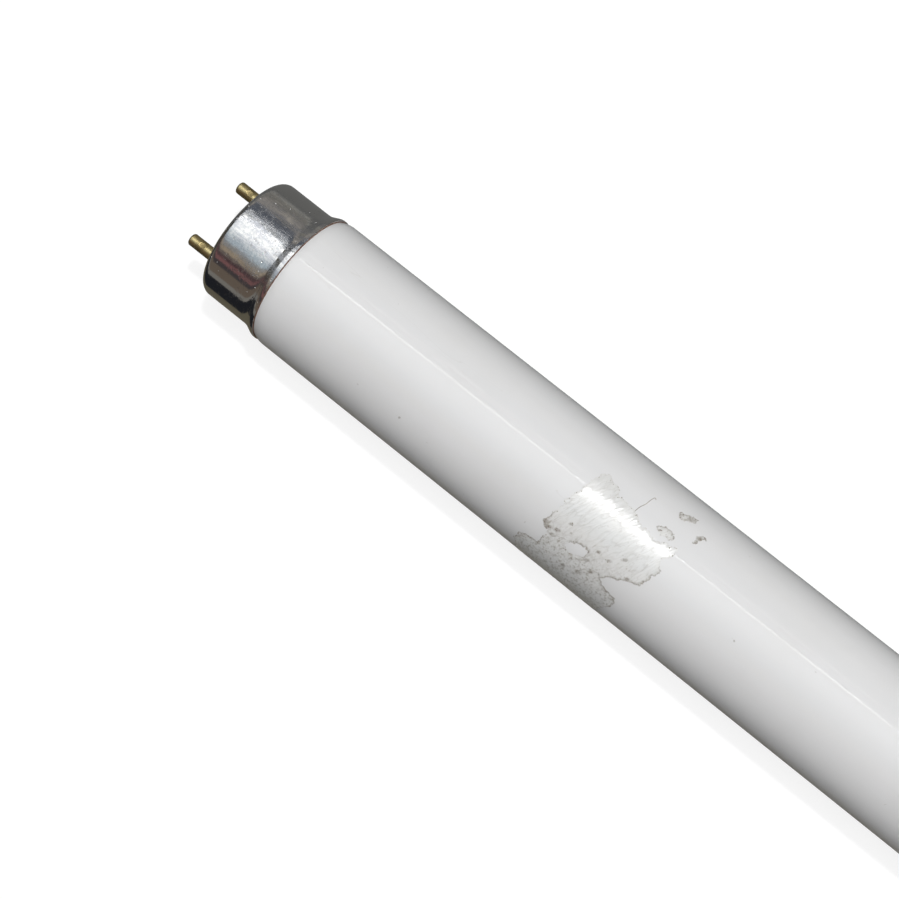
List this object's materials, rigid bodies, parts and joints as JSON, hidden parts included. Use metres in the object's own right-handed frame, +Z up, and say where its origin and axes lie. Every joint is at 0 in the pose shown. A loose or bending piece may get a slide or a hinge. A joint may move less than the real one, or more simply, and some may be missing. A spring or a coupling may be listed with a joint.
{
  "type": "fluorescent tube",
  "caption": "Straight white coated fluorescent lamp tube with plated metal end caps and brass contact pins.",
  "frame": {"origin": "middle of the tube, on its axis", "axes": "+X along the tube towards its right end, +Y along the line of the pins, +Z up"},
  "size_m": [0.9088, 0.026, 0.026],
  "materials": {
    "glass": "smooth clear glass over an opaque white coat",
    "cap": "bright plated, fine scratches",
    "pin": "dull",
    "plate": "matt",
    "cement": "rough",
    "wire": "drawn",
    "film": "torn film"
  },
  "bodies": {
    "root": {"glass_tube": "glass", "left_cap_shell": "cap", "left_pin_plate": "plate", "left_cement_ring": "cement", "left_front_pin": "pin", "left_front_lead_wire": "wire", "left_back_pin": "pin", "left_back_lead_wire": "wire", "right_cap_shell": "cap", "right_pin_plate": "plate", "right_cement_ring": "cement", "right_front_pin": "pin", "right_front_lead_wire": "wire", "right_back_pin": "pin", "right_back_lead_wire": "wire"}
  },
  "joints": []
}
